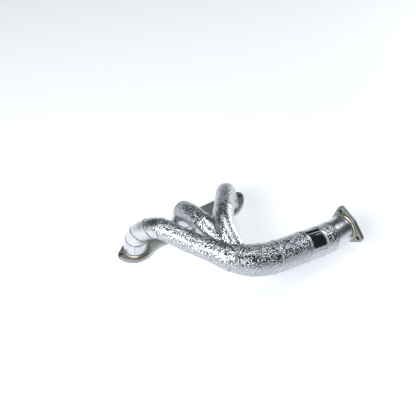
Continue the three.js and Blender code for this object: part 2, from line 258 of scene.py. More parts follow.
class Finish:
    """A material under construction."""

    def __init__(self, name, **constants):
        self.material = bpy.data.materials.new(name)
        self.material.use_nodes = True
        self.tree = self.material.node_tree
        self.shader = self.tree.nodes["Principled BSDF"]
        for socket, value in constants.items():
            self.shader.inputs[socket.replace("_", " ")].default_value = value

    def node(self, kind, settings=None, inputs=None, output=0):
        made = self.tree.nodes.new(kind)
        for key, value in (settings or {}).items():
            if key == "stops":
                ramp = made.color_ramp
                while len(ramp.elements) < len(value):
                    ramp.elements.new(0.5)
                for element, (position, colour) in zip(ramp.elements, value):
                    element.position = position
                    element.color = (*colour, 1) if isinstance(colour, tuple) else (colour, colour, colour, 1)
            else:
                setattr(made, key, value)
        for key, value in (inputs or {}).items():
            if isinstance(value, Wire):
                self.tree.links.new(value.socket, made.inputs[key])
            else:
                made.inputs[key].default_value = value
        return Wire(self, made.outputs[output])

    def mix(self, factor, first, second):
        colours = {0: factor}
        for socket, colour in ((6, first), (7, second)):
            colours[socket] = (*colour, 1) if isinstance(colour, tuple) else colour
        return self.node("ShaderNodeMix", {"data_type": "RGBA"}, colours, output=2)

    def place(self, stretch=(1, 1, 1)):
        """Coordinates on the object, in metres, stretched along each axis."""
        here = self.node("ShaderNodeTexCoord", output="Object")
        if stretch == (1, 1, 1):
            return here
        return self.node("ShaderNodeVectorMath", {"operation": "MULTIPLY"}, {0: here, 1: stretch})

    def noise(self, size, detail=3.0, where=None, roughness=0.5):
        """Soft noise whose features are about size millimetres across."""
        inputs = {"Vector": where or self.place(), "Scale": 1 / (size * MM), "Detail": detail,
                  "Roughness": roughness}
        return self.node("ShaderNodeTexNoise", {}, inputs, output="Fac")

    def between(self, value, low, high):
        """0 below low, 1 above high, and smooth in between."""
        inputs = {"Value": value, "From Min": low, "From Max": high}
        return self.node("ShaderNodeMapRange", {"interpolation_type": "SMOOTHSTEP"}, inputs)

    def painted(self, name):
        """A number that was stored on the mesh's vertices."""
        return self.node("ShaderNodeAttribute", {"attribute_name": name}, output="Fac")

    def feed(self, **links):
        for socket, value in links.items():
            self.tree.links.new(value.socket, self.shader.inputs[socket.replace("_", " ")])
        return self.material

    def bump(self, height, depth, strength=1.0):
        """A normal from a height between 0 and 1 that stands for depth millimetres."""
        inputs = {"Strength": strength, "Distance": depth * MM, "Height": height}
        return self.node("ShaderNodeBump", {}, inputs)


print("shader helper ready")

# %% [markdown]
# ## Embossed foil
#
# The jacket is thin stainless foil, rolled with a pebble pattern a few millimetres across.
# Each pebble reflects a different piece of the room, which is why the sheet glitters from
# near black to white. A noise in the colour can't do that: the glitter has to come from the
# surface normal. So a smooth Voronoi pattern drives the bump, and painted shade in the colour
# darkens the valleys between the pebbles to a dim green-grey. Painted numbers on the mesh say
# where the pattern is pressed flat and where a seam has collected brown dirt and heat tint.

# %% Foil finish
PEBBLE_SIZE = 3.1
PEBBLE_DRIFT = 2.8
PEBBLE_DEPTH = 0.68
# Painted shade: a dim green-grey for the valleys between the pebbles.
VALLEY_SHADE = (0.17, 0.185, 0.18)
DULL_FOIL, BRIGHT_FOIL = (0.69, 0.71, 0.77), (0.81, 0.83, 0.88)
SEAM_STAIN = (0.16, 0.12, 0.085)


def foil_finish():
    f = Finish("embossed_foil", Metallic=1.0, Roughness=0.2)
    drift = f.node("ShaderNodeTexNoise", {}, {"Vector": f.place(), "Scale": 1 / (5 * MM)}, output="Color")
    shifted = f.node("ShaderNodeVectorMath", {"operation": "MULTIPLY_ADD"},
                     {0: drift, 1: (PEBBLE_DRIFT * MM,) * 3, 2: f.place()})
    cells = f.node("ShaderNodeTexVoronoi", {"feature": "SMOOTH_F1"},
                   {"Vector": shifted, "Scale": 1 / (PEBBLE_SIZE * MM), "Smoothness": 0.3}, output="Distance")
    pebble = 1 - f.between(cells, 0.12, 0.72)
    pattern = f.painted("pattern")
    seam = f.painted("seam")
    cloud = f.noise(30, 3.0)
    ground = f.between(f.noise(2.6, 2.0), 0.40, 0.62)
    height = pebble * pattern + f.noise(0.9, 2.0) * 0.06 + f.noise(9, 2.0) * 0.12
    # Painted shade: the colour darkens towards the dark valley colour between pebbles and in low spots of the
    # ground noise, more where the pattern is deep.
    crown = 1 - pattern * (1 - pebble * 0.6 - ground * 0.4) * 0.62
    stain = seam * f.between(f.noise(7, 2.0), 0.22, 0.55)
    sheet = f.mix(crown, VALLEY_SHADE, f.mix(cloud, DULL_FOIL, BRIGHT_FOIL))
    colour = f.mix(stain * 0.8, sheet, SEAM_STAIN)
    roughness = 0.17 + cloud * 0.08 + seam * 0.2 + (1 - pattern) * 0.09
    return f.feed(Base_Color=colour, Roughness=roughness, Normal=f.bump(height, PEBBLE_DEPTH))


foil = foil_finish()
print("foil finish:", len(foil.node_tree.nodes), "nodes")

# %% [markdown]
# ## Flange steel
#
# Both flanges are cut from mild steel plate and left bare, with a faint green-grey cast. The
# faces carry short sanding scratches and cloudy patches where oil and cleaning left their
# marks. Stretched noise makes the scratches, and a second, broader noise shifts the colour
# and the roughness together, so that a dull patch is also a slightly darker one. A painted
# number marks the walls of the holes, where painted shade darkens them nearly to black.

# %% Flange finish
def flange_finish():
    f = Finish("flange_steel", Metallic=1.0, Roughness=0.35)
    scratches = f.noise(1.6, 3.0, f.place((1.0, 0.09, 1.0)), 0.6)
    crossing = f.noise(2.2, 2.0, f.place((0.12, 1.0, 1.0)), 0.6)
    cloud = f.noise(38, 4.0, None, 0.6)
    patch = f.between(cloud, 0.38, 0.66)
    pits = f.between(f.noise(2.4, 4.0), 0.60, 0.72)
    steel = f.mix(patch, (0.36, 0.375, 0.36), (0.54, 0.56, 0.545))
    colour = f.mix(pits * 0.5, steel, (0.27, 0.25, 0.21))
    # Painted shade: the walls of the holes are darkened nearly to black.
    colour = f.mix(f.painted("bore") * 0.9, colour, (0.06, 0.055, 0.05))
    roughness = 0.44 - patch * 0.12 + scratches * 0.12
    height = scratches * 0.5 + crossing * 0.35 - pits * 0.5
    return f.feed(Base_Color=colour, Roughness=roughness, Normal=f.bump(height, 0.10, 0.6))


flange_steel = flange_finish()
print("flange finish:", len(flange_steel.node_tree.nodes), "nodes")

# %% [markdown]
# ## Tube steel, weld, blanket and label
#
# Four smaller finishes complete the set. The bare tubes show only at their ends, so they get
# a fine grain and soot. Weld metal keeps the straw, brown and blue films that heat
# grows on steel. The blanket between tube and foil is woven white fibre. The label plate is
# blank black enamel: a smooth coat over a very slightly wavy ground, with fine dust.

# %% Tube, weld, blanket and label finishes
def tube_finish():
    f = Finish("tube_steel", Metallic=1.0, Roughness=0.35)
    soot = f.between(f.noise(14, 4.0), 0.42, 0.7)
    colour = f.mix(soot * 0.7, (0.50, 0.49, 0.46), (0.16, 0.14, 0.12))
    grain = f.noise(0.8, 3.0)
    return f.feed(Base_Color=colour, Roughness=0.32 + soot * 0.3, Normal=f.bump(grain, 0.05, 0.5))


def weld_finish():
    f = Finish("weld_metal", Metallic=1.0, Roughness=0.3)
    heat = f.noise(9, 3.0) * 0.55 + f.painted("heat") * 0.5
    stops = [(0.0, (0.52, 0.51, 0.48)), (0.35, (0.52, 0.46, 0.36)), (0.55, (0.34, 0.26, 0.18)),
             (0.75, (0.24, 0.21, 0.22)), (1.0, (0.36, 0.38, 0.41))]
    colour = f.node("ShaderNodeValToRGB", {"stops": stops}, {"Fac": heat})
    grain = f.noise(0.7, 3.0)
    return f.feed(Base_Color=colour, Roughness=0.24 + grain * 0.2, Normal=f.bump(grain, 0.06, 0.6))


def blanket_finish():
    f = Finish("blanket_fibre", Roughness=0.95)
    warp = f.node("ShaderNodeTexWave", {"wave_type": "BANDS", "bands_direction": "DIAGONAL"},
                  {"Vector": f.place(), "Scale": 1 / (6 * MM), "Distortion": 2.0}, output="Fac")
    fluff = f.noise(1.0, 4.0)
    colour = f.mix(fluff * 0.6 + warp * 0.3, (0.52, 0.48, 0.40), (0.80, 0.77, 0.70))
    return f.feed(Base_Color=colour, Normal=f.bump(warp * 0.6 + fluff * 0.4, 0.3, 0.8))


def label_finish():
    f = Finish("label_enamel", Metallic=0.0, Roughness=0.12, Coat_Weight=0.6, Coat_Roughness=0.05)
    dust = f.between(f.noise(1.4, 4.0), 0.60, 0.75)
    cloud = f.noise(16, 2.0)
    colour = f.mix(dust * 0.35 + cloud * 0.1, (0.010, 0.011, 0.014), (0.09, 0.095, 0.11))
    return f.feed(Base_Color=colour, Roughness=0.08 + dust * 0.3 + cloud * 0.08,
                  Normal=f.bump(f.noise(9, 1.0), 0.12, 0.5))


tube_steel, weld_metal = tube_finish(), weld_finish()
blanket_fibre, label_enamel = blanket_finish(), label_finish()
print("materials:", [m.name for m in bpy.data.materials][:12])

# %% [markdown]
# ## From rings of points to a closed mesh
#
# Most pieces here are rings joined one to the next: a foil sleeve runs along its outside and
# back along its inside until it meets its first ring again, so it is a closed shell with no
# loose edges. Blender's Solidify modifier could thicken a single sheet, but writing both
# skins lets the inside stay plain and light while the outside is fine enough for its pattern.

# %% Mesh helpers
def add_piece(name, vertices, faces, material, replaced=(), painted=None):
    """A smooth mesh from points in millimetres, riding on the part's one body."""
    mesh = bpy.data.meshes.new(name)
    mesh.from_pydata(in_part_frame(vertices).tolist(), [], faces)
    for key, values in (painted or {}).items():
        layer = mesh.attributes.new(key, "FLOAT", "POINT")
        layer.data.foreach_set("value", np.asarray(values, np.float32).ravel())
    mesh.polygons.foreach_set("use_smooth", [True] * len(mesh.polygons))
    mesh.materials.append(material)
    mesh.update()
    piece = bpy.data.objects.new(name, mesh)
    bpy.context.scene.collection.objects.link(piece)
    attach(piece, "root")
    if replaced:
        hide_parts(*replaced)
    return piece


def face_outward(piece, sharp=math.pi):
    """Turns a piece's faces outward, and keeps the edges that bend by more than sharp crisp."""
    turned = bmesh.new()
    turned.from_mesh(piece.data)
    bmesh.ops.recalc_face_normals(turned, faces=turned.faces)
    for edge in turned.edges:
        edge.smooth = edge.calc_face_angle(0) < sharp
    turned.to_mesh(piece.data)
    turned.free()
    return piece


def nodes_called(start):
    """The CAD nodes whose names begin with start."""
    return [name for name in sorted(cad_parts) if name.startswith(start)]


def grid_faces(rows, columns, close_rows=False, close_columns=True):
    """Quads over a grid of points, numbered row by row."""
    i, j = np.meshgrid(np.arange(rows if close_rows else rows - 1),
                       np.arange(columns if close_columns else columns - 1), indexing="ij")
    below, beside = (i + 1) % rows, (j + 1) % columns
    quads = [i * columns + j, i * columns + beside, below * columns + beside, below * columns + j]
    return np.stack(quads, -1).reshape(-1, 4).tolist()


print("a 3 by 4 tube has", len(grid_faces(3, 4)), "faces")

# %% [markdown]
# ## Seams
#
# The jacket is made of short sleeves cut from flat foil, and each cut is nearly flat but a
# little slanted. So a seam here is a plane: its distance along the route, how far it leans,
# and towards which side. Following the plane around the tube gives the true edge of both
# sleeves that meet there. One edge laps over the other, or both are rolled up into a bead, or
# both are pressed down so well that the seam is faint.

# %% Seam lines
AROUND_PRIMARY = 120
AROUND_OUTLET = 176


def seam_plane(route, radius_of, distance, lean=0.0, towards=0.0):
    """A point on the seam's plane and its normal. lean is in millimetres at the tube's skin."""
    centre, left, over, tangent = route.at(distance)
    side = math.cos(math.radians(towards)) * left + math.sin(math.radians(towards)) * over
    normal = tangent - side * lean / (float(radius_of(distance)) + FOIL_OUTSIDE)
    return centre, normal / np.linalg.norm(normal)


def seam_edge(route, radius_of, columns, distance, lean=0.0, towards=0.0, ragged=0.25):
    """The distance along the route at which each angle meets the seam's plane."""
    angles = around(columns)
    centre, normal = seam_plane(route, radius_of, distance, lean, towards)
    steps = distance + np.linspace(-abs(lean) - 9, abs(lean) + 9, 90)
    grid_d, grid_a = np.meshgrid(steps, angles, indexing="ij")
    points = route.points(grid_d, grid_a, radius_of(grid_d) + FOIL_OUTSIDE)
    ahead = (points - centre) @ normal
    found = np.array([np.interp(0.0, ahead[:, k], steps) for k in range(columns)])
    wander = np.sin(3 * angles + distance) + 0.7 * np.sin(8 * angles + 2 * distance)
    return found + ragged * wander


# Each kind of edge: its height, where it starts to fall, where it ends, its lip and its stain.
EDGE_STYLES = {
    "over": (0.50, 1.8, 5.5, 0.40, 1.0),
    "bead": (1.05, 1.0, 2.8, 0.45, 0.25),
    "faint": (0.10, 1.8, 5.5, 0.15, 0.35),
    "under": (-0.25, 0.4, 2.5, 0.25, 1.0),
}
NEXT_EDGE = {"over": "under", "bead": "bead", "faint": "faint", "under": "under"}


def edge_lift(inward, style):
    """How far a sleeve's edge stands up, by the distance inward from the edge."""
    height, falls, ends, lip, _ = EDGE_STYLES[style]
    rounded = np.sqrt(np.clip(1 - (1 - np.clip(inward / 0.5, 0, 1)) ** 2, 0, 1)) - 1
    return height * (1 - smoothstep(inward, falls, ends)) + lip * rounded


def edge_stain(inward, style):
    """How stained a sleeve is, by the distance inward from its edge."""
    return EDGE_STYLES[style][4] * np.exp(-((inward / 1.1) ** 2))


print("lap height:", edge_lift(np.array([0.0, 0.5, 6.0]), "over").round(2))

# %% [markdown]
# ## A foil sleeve
#
# Each sleeve is a grid of points around the route, about a millimetre apart, with extra rows
# at its two edges so that the lap has a real rounded lip. Dents, pebbles, the lapped edges and
# the lengthwise join where the sheet closes on itself are added to the radius. Two painted
# numbers go with the points: how deep the pattern is, and how stained the seam is.

# %% Sleeves
EDGE_ROWS = np.array([0.0, 0.12, 0.3, 0.55, 0.9, 1.4, 2.0, 2.8])
ROW_STEP = 1.15
SEAM_GAP = 0.13


def skin_height(points, pattern, seed):
    """Unevenness of the foil in millimetres, at rest points on its skin."""
    slow = 0.20 * dents(points, 24.0, seed) + 0.05 * dents(points, 9.0, seed + 3)
    return slow + pattern * 0.16 * (pebbles(points, 3.2, seed + 7) - 0.5)


def lengthwise_join(angles, radius, join):
    """Height and stain of the join where a sheet overlaps itself, at join degrees round the tube."""
    away = (angles - math.radians(join) + np.pi) % (2 * np.pi) - np.pi
    away = away * radius
    lap = 0.5 * smoothstep(away, -0.35, 0.1) * (1 - smoothstep(away, 2.5, 7.0))
    return lap, np.exp(-((away / 0.8) ** 2))


def sleeve(name, route, radius_of, columns, start, end, replaced, pattern=1.0, join=270.0, seed=1):
    """A closed foil shell between two seams. Each seam is (distance, lean, towards, style)."""
    start_style, end_style = NEXT_EDGE[start[3]], end[3]
    angles = around(columns)
    first = seam_edge(route, radius_of, columns, *start[:3]) + SEAM_GAP
    last = seam_edge(route, radius_of, columns, *end[:3]) - SEAM_GAP
    reach = EDGE_ROWS[-1]
    middle = max(4, int(round((end[0] - start[0] - 2 * reach) / ROW_STEP)))
    share = np.linspace(0, 1, middle + 1)[1:-1, None]
    rows = np.vstack([
        first + EDGE_ROWS[:, None],
        (first + reach) * (1 - share) + (last - reach) * share,
        last - EDGE_ROWS[::-1, None],
    ])
    grid = np.broadcast_to(angles, rows.shape)
    radius = radius_of(rows) + FOIL_OUTSIDE
    rest = route.points(rows, grid, radius)
    from_first, from_last = rows - first, last - rows
    near = np.minimum(from_first, from_last)
    lap, join_stain = lengthwise_join(grid, radius, join)
    away_from_edge = smoothstep(near, 0.0, 3.0)
    lift = edge_lift(from_first, start_style) + edge_lift(from_last, end_style)
    lift = lift + away_from_edge * (lap + skin_height(rest, pattern, seed))
    outside = route.points(rows, grid, radius + lift)
    inner_rows = np.linspace(1, 0, max(3, int((end[0] - start[0]) / 8)))[:, None]
    inner_d = first * (1 - inner_rows) + last * inner_rows
    inside = route.points(inner_d, np.broadcast_to(angles, inner_d.shape), radius_of(inner_d) + FOIL_INSIDE)
    rings = np.concatenate([outside, inside])
    seam = np.maximum(edge_stain(from_first, start_style), edge_stain(from_last, end_style))
    seam = np.maximum(seam, 0.8 * join_stain)
    seam = np.concatenate([seam, np.ones(inner_d.shape)])
    depth = np.concatenate([pattern * away_from_edge, np.zeros(inner_d.shape)])
    faces = grid_faces(len(rings), columns, close_rows=True)
    return add_piece(name, rings.reshape(-1, 3), faces, foil, replaced,
                     {"seam": seam, "pattern": depth})


print("edge rows:", len(EDGE_ROWS))

# %% [markdown]
# ## Sleeves on the three primary tubes
#
# Near the head flange the sleeves are short, because flat foil can't follow the tight bend,
# and their pattern is pressed almost flat by the handling. Farther on they are long and deep.
# Every distance is counted from the top of the flange, as a fitter would measure it. Past the
# last seam in each list the tube is covered by the collector's foil.

# %% Primary sleeves
FRONT, BACK = 180.0, 0.0
primary_seams = [
    [(5.6, 0, 0, "under"), (39.8, 4.4, 290, "over"), (60.5, 10.0, 200, "over"), (98.6, 8.2, 200, "over"),
     (126.5, 2.8, FRONT, "over")],
    [(5.6, 0, 0, "under"), (22, 4.5, FRONT, "over"), (70, 4.0, BACK, "over"), (112, 2.5, FRONT, "faint"),
     (137.5, 3.5, 150, "over")],
    [(5.6, 0, 0, "under"), (32, 2.0, FRONT, "over"), (92, 3.0, BACK, "faint"), (118, 2.0, FRONT, "faint"),
     (160, 1.0, FRONT, "faint")],
]
primary_pattern = [[0.10, 0.12, 0.30, 0.35], [0.12, 0.25, 0.95, 0.95], [0.25, 0.9, 1.0, 0.9]]
primary_joins = [[205, 250, 20, 300], [300, 330, 280, 310], [330, 290, 300, 250]]

for tube, seams in enumerate(primary_seams):
    counted = [(distance + PLATE_TOP, lean, side, style) for distance, lean, side, style in seams]
    for part in range(4):
        sleeve(f"foil_sleeve_{tube + 1}_{part + 1}", primary_routes[tube], primary_radius, AROUND_PRIMARY,
               counted[part], counted[part + 1], [f"foil_{tube + 1}_segment_{part + 1}"],
               primary_pattern[tube][part], primary_joins[tube][part], seed=11 * tube + part + 1)

# %% [markdown]
# ## The collector's foil
#
# Where three tubes run into one, a sheet can't simply be swept. On the real part the foil is
# draped over the junction and beaten into the creases. Here the four tubes are made as plain
# rods, joined, and voxel remeshed into one skin. Smoothing then rounds the creases between
# the tubes, as beaten foil does. The skin is cut off at the planes where the sleeves begin.

# %% Collector skin
VOXEL = 1.05
ROUNDING_STEPS = 14
ROD_STEP = 3
RUN_OUT = 8.0
LEAN_SIDE = 39.0
COLLECTOR_END = (90.9, 7.2, LEAN_SIDE, "over")


def rod(route, radius_of, start, end, columns=96):
    distances = np.linspace(start, end, int((end - start) / ROD_STEP) + 2)[:, None]
    angles = around(columns)
    grid = np.broadcast_to(angles, (len(distances), columns))
    rings = route.points(np.broadcast_to(distances, grid.shape), grid, radius_of(distances) + FOIL_OUTSIDE
                         + np.zeros(grid.shape))
    faces = grid_faces(len(rings), columns)
    count = rings.shape[0] * columns
    faces += [list(range(columns))[::-1], list(range(count - columns, count))]
    return rings.reshape(-1, 3), faces


def joined_rods(rods):
    """One skin around several rods, in millimetres."""
    mesh = bpy.data.meshes.new("rods")
    vertices, faces, base = [], [], 0
    for points, polygons in rods:
        vertices.append(points)
        faces += [[corner + base for corner in polygon] for polygon in polygons]
        base += len(points)
    mesh.from_pydata(np.vstack(vertices).tolist(), [], faces)
    draft = bpy.data.objects.new("rods", mesh)
    bpy.context.scene.collection.objects.link(draft)
    remesh = draft.modifiers.new("skin", "REMESH")
    remesh.mode = "VOXEL"
    remesh.voxel_size = VOXEL
    relax = draft.modifiers.new("relax", "SMOOTH")
    relax.factor, relax.iterations = 0.5, ROUNDING_STEPS
    graph = bpy.context.evaluated_depsgraph_get()
    skin = bpy.data.meshes.new_from_object(draft.evaluated_get(graph))
    bpy.data.objects.remove(draft)
    bpy.data.meshes.remove(mesh)
    return skin


def axis_distance(route, points, step=0.75):
    """For each point, its distance along the route, and away from the route's line."""
    distances = np.arange(-RUN_OUT, route.length + RUN_OUT, step)
    centres, _, _, tangents = route.at(distances)
    along = np.empty(len(points))
    for block in range(0, len(points), 4000):
        part = points[block:block + 4000]
        gaps = ((part[:, None] - centres[None]) ** 2).sum(-1)
        near = gaps.argmin(1)
        extra = ((part - centres[near]) * tangents[near]).sum(-1)
        along[block:block + 4000] = distances[near] + extra
    away = np.linalg.norm(points - route.at(along)[0], axis=1)
    return along, away


collector_cuts = [
    (primary_routes[0], primary_radius, primary_seams[0][-1], -1),
    (primary_routes[1], primary_radius, primary_seams[1][-1], -1),
    (primary_routes[2], primary_radius, primary_seams[2][-1], -1),
    (outlet_route, outlet_radius, (COLLECTOR_END[0] - PLATE_TOP, *COLLECTOR_END[1:]), 1),
]
skin = joined_rods([
    rod(route, radius_of, seam[0] + PLATE_TOP - RUN_OUT, route.length - 2)
    if facing < 0 else rod(route, radius_of, 1.0, seam[0] + PLATE_TOP + 2 * RUN_OUT)
    for route, radius_of, seam, facing in collector_cuts
])
print("collector skin:", len(skin.vertices), "vertices")

# %% [markdown]
# ## Cutting and marking the collector's foil
#
# Bisecting only the faces near one tube's end cuts that end off and leaves the others
# alone. Two more seams cross the collector without parting it, so they are cut into the mesh
# as extra edge loops and then raised. Without those loops a one-millimetre grid would turn a
# straight seam into a staircase.

# %% Collector seams
DRAWN_SEAMS = [(11.8, 0.8, FRONT), (51.6, 10.2, 30.0)]
DRAWN_LAP = 0.55
LAP_LOOPS = (-0.5, 0.0, 0.35, 0.9, 2.2)
COLLECTOR_JOIN = 164.0


def near_plane(bm, route, radius_of, centre, normal, reach, slack=1.6):
    """Faces, edges and vertices within reach of a plane, on one tube's own skin."""
    centres = np.array([face.calc_center_median()[:] for face in bm.faces])
    axial = (centres - centre) @ normal
    nearby = np.flatnonzero((np.abs(axial) < reach) & (np.linalg.norm(centres - centre, axis=1) < 60))
    along, away = axis_distance(route, centres[nearby])
    own = np.abs(away - radius_of(along) - FOIL_OUTSIDE) < slack
    bm.faces.ensure_lookup_table()
    faces = [bm.faces[i] for i in nearby[own]]
    edges = {edge for face in faces for edge in face.edges}
    corners = {vertex for face in faces for vertex in face.verts}
    return [*faces, *edges, *corners]


bm = bmesh.new()
bm.from_mesh(skin)
for route, radius_of, (distance, lean, side, _), facing in collector_cuts:
    centre, normal = seam_plane(route, radius_of, distance + PLATE_TOP + facing * -SEAM_GAP, lean, side)
    part = near_plane(bm, route, radius_of, centre, normal, 2.5 * RUN_OUT, 6.0)
    bmesh.ops.bisect_plane(bm, geom=part, plane_co=centre, plane_no=normal, dist=1e-4,
                           clear_outer=facing > 0, clear_inner=facing < 0)
    islands = [v for v in bm.verts if not v.link_faces]
    bmesh.ops.delete(bm, geom=islands, context="VERTS")
for distance, lean, side in DRAWN_SEAMS:
    centre, normal = seam_plane(outlet_route, outlet_radius, distance, lean, side)
    for shift in LAP_LOOPS:
        part = near_plane(bm, outlet_route, outlet_radius, centre + normal * shift, normal, 3.0)
        bmesh.ops.bisect_plane(bm, geom=part, plane_co=centre + normal * shift, plane_no=normal, dist=1e-4)


def largest_body(bm):
    """Deletes everything but the body with most faces."""
    unseen, best = set(bm.faces), []
    while unseen:
        body, edge = [], [unseen.pop()]
        while edge:
            face = edge.pop()
            body.append(face)
            for neighbour in (f for e in face.edges for f in e.link_faces if f in unseen):
                if neighbour in unseen:
                    unseen.discard(neighbour)
                    edge.append(neighbour)
        best = max(best, body, key=len)
    keep = set(best)
    bmesh.ops.delete(bm, geom=[f for f in bm.faces if f not in keep], context="FACES")


largest_body(bm)
bmesh.ops.recalc_face_normals(bm, faces=bm.faces)
bm.verts.ensure_lookup_table()
rest = np.array([v.co[:] for v in bm.verts])
normals = np.array([v.normal[:] for v in bm.verts])
open_edge = np.array([any(e.is_boundary for e in v.link_edges) for v in bm.verts])
print("collector foil:", len(bm.faces), "faces,", int(open_edge.sum()), "edge vertices")

# %% Collector relief
along, away = axis_distance(outlet_route, rest)
off_outlet = np.abs(away - outlet_radius(along) - FOIL_OUTSIDE)
on_outlet = 1 - smoothstep(off_outlet, 0.8, 2.2)
relief = skin_height(rest, 1.0, 71)
seam = np.zeros(len(rest))
for distance, lean, side in DRAWN_SEAMS:
    centre, normal = seam_plane(outlet_route, outlet_radius, distance, lean, side)
    ahead = (rest - centre) @ normal
    relief += on_outlet * DRAWN_LAP * smoothstep(ahead, -0.45, 0.1) * (1 - smoothstep(ahead, 2.0, 6.0))
    seam = np.maximum(seam, on_outlet * np.exp(-((ahead / 1.0) ** 2)))
line, left, over, _ = outlet_route.at(along)
angle = np.arctan2(((rest - line) * over).sum(-1), ((rest - line) * left).sum(-1))
between_seams = smoothstep(along, 14, 16) * (1 - smoothstep(along, 36, 40)) * on_outlet
lap, stain = lengthwise_join(angle, away, COLLECTOR_JOIN)
relief += between_seams * lap
seam = np.maximum(seam, 0.8 * between_seams * stain)
creases, smoothed = np.zeros(len(rest)), np.zeros(len(rest))
for route in primary_routes[1:]:
    leg_along, leg_away = axis_distance(route, rest)
    leg_gap = np.abs(leg_away - primary_radius(leg_along) - FOIL_OUTSIDE)
    before_end = 1 - smoothstep(leg_along, route.length - 30, route.length - 22)
    creases = np.maximum(creases, before_end * (1 - smoothstep(leg_gap + off_outlet, 0.8, 3.2)))
    smoothed = np.maximum(smoothed, (1 - smoothstep(leg_gap, 1.0, 4.0)) * (1 - on_outlet))
seam = np.maximum(seam, 0.55 * creases)
for route, radius_of, (distance, lean, side, _), facing in collector_cuts:
    centre, normal = seam_plane(route, radius_of, distance + PLATE_TOP, lean, side)
    inward = -facing * ((rest - centre) @ normal)
    close = np.linalg.norm(rest - centre, axis=1) < float(radius_of(distance + PLATE_TOP)) + 9
    edge = np.where(close & (inward < 8), edge_lift(np.clip(inward, 0, None), "over"), 0)
    relief = np.where(close, relief * smoothstep(inward, 0, 3) + edge, relief)
    seam = np.maximum(seam, np.where(close, np.exp(-((inward / 1.0) ** 2)), 0))
outside = rest + normals * relief[:, None]
inside = rest - normals * (FOIL_OUTSIDE - FOIL_INSIDE - 0.2)
count = len(rest)
faces = [[v.index for v in face.verts] for face in bm.faces]
rims = [[loop.vert.index for loop in edge.link_loops[:1]] + [edge.other_vert(edge.link_loops[0].vert).index]
        for edge in bm.edges if edge.is_boundary]
shell = faces + [[i + count for i in face[::-1]] for face in faces]
shell += [[b, a, a + count, b + count] for a, b in rims]
add_piece(
    "collector_foil_skin", np.vstack([outside, inside]), shell, foil,
    ["collector_foil", "foil_1_segment_5"],
    {"seam": np.concatenate([seam, np.ones(count)]),
     "pattern": np.concatenate([np.where(open_edge, 0.2, 0.95 - 0.45 * smoothed), np.zeros(count)])})
bm.free()
print("collector skin piece:", len(shell), "faces")

# %% [markdown]
# ## Sleeves on the outlet pipe
#
# Five sleeves cover the outlet pipe. Their seams lean, because each sleeve was cut to turn
# with the bend. Three of them are rolled up into bright beads, two of these beside the label.
# The last sleeve stops short of the flange, and its pattern is pressed out by the clamping.

# %% Outlet sleeves
FOIL_STOPS_SHORT = 16.0
outlet_seams = [COLLECTOR_END, (132, 5.6, LEAN_SIDE, "bead"), (204.2, 1.8, LEAN_SIDE, "bead"),
                (247, 1.0, LEAN_SIDE, "bead"), (279, 4.5, LEAN_SIDE, "over"),
                (float(outlet_route.length) - FOIL_STOPS_SHORT, 0, 0, "under")]
outlet_pattern = [1.0, 1.0, 0.8, 0.85, 0.2]
outlet_joins = [262, 280, 250, 285, 268]
for part in range(5):
    sleeve(f"outlet_sleeve_{part + 1}", outlet_route, outlet_radius, AROUND_OUTLET, outlet_seams[part],
           outlet_seams[part + 1], [f"outlet_foil_segment_{part + 1}"], outlet_pattern[part],
           outlet_joins[part], seed=50 + part)
print("outlet sleeves done")

# %% [markdown]
# ## Bare tubes
#
# The steel tubes show only at their ends: through the ports from below, at the gap above each
# weld, and in the outlet's mouth. They are still swept at full length, with both walls, so
# that a look down any bore finds a smooth round tube.

# %% Bare tubes
PIPE_STEP = 4


def bare_tube(name, route, radius_of, start, end, replaced, columns=64):
    out_d = np.linspace(start, end, int((end - start) / PIPE_STEP) + 2)[:, None]
    angles = around(columns)
    grid = np.broadcast_to(angles, (len(out_d), columns))
    wide = np.broadcast_to(out_d, grid.shape)
    outside = route.points(wide, grid, radius_of(wide))
    inside = route.points(wide[::-1], grid, radius_of(wide[::-1]) - TUBE_WALL)
    rings = np.concatenate([outside, inside])
    return add_piece(name, rings.reshape(-1, 3), grid_faces(len(rings), columns, close_rows=True),
                     tube_steel, replaced)


TUBE_ENDS = (211.0, 142.0, 160.0)
OUTLET_PIPE_START, SHORT_OF_FACE = 97.3, 1.0
for tube, end in enumerate(TUBE_ENDS):
    bare_tube(f"primary_pipe_{tube + 1}", primary_routes[tube], primary_radius, 0.0, end + PLATE_TOP,
              nodes_called(f"primary_tube_{tube + 1}_segment"))
bare_tube("outlet_bare_pipe", outlet_route, outlet_radius, OUTLET_PIPE_START,
          float(outlet_route.length) - SHORT_OF_FACE, nodes_called("outlet_pipe_segment"), 80)
print("bare tubes:", len(TUBE_ENDS) + 1)

# %% [markdown]
# ## Plates with rounded edges
#
# A flange is a flat plate with holes, and what makes it look cut from steel is its edges: a
# small round all the way along, and a turned lead-in at every hole. A bevel modifier would
# also round the fine facets of the outline. So the outline is drawn as a dense loop, moved
# inward in steps for the rounded edge, and the flat faces are filled between the loops.

# %% Plates
EDGE_STEPS = 5


def rounded_outline(corners, steps=14):
    """A closed loop through corners (x, y, radius), each rounded by about its radius."""
    points = np.array([corner[:2] for corner in corners], float)
    loop = []
    for i, (_, _, radius) in enumerate(corners):
        here = points[i]
        before = points[i - 1] - here
        after = points[(i + 1) % len(points)] - here
        before, after = before / np.linalg.norm(before), after / np.linalg.norm(after)
        reach = radius / math.tan(math.acos(np.clip(before @ after, -1, 1)) / 2)
        t = np.linspace(0, 1, steps)[:, None]
        start, end = here + before * reach, here + after * reach
        loop.append((1 - t) ** 2 * start + 2 * t * (1 - t) * here + t**2 * end)
    return np.vstack(loop)


def inset(loop, distance):
    """A counter-clockwise loop moved inward."""
    ahead = np.roll(loop, -1, axis=0) - np.roll(loop, 1, axis=0)
    normal = np.stack([-ahead[:, 1], ahead[:, 0]], -1)
    return loop + normal / np.linalg.norm(normal, axis=1, keepdims=True) * distance


def on_circle(centre, radius, turn):
    return np.stack([centre[0] + radius * np.cos(turn), centre[1] + radius * np.sin(turn)], -1)


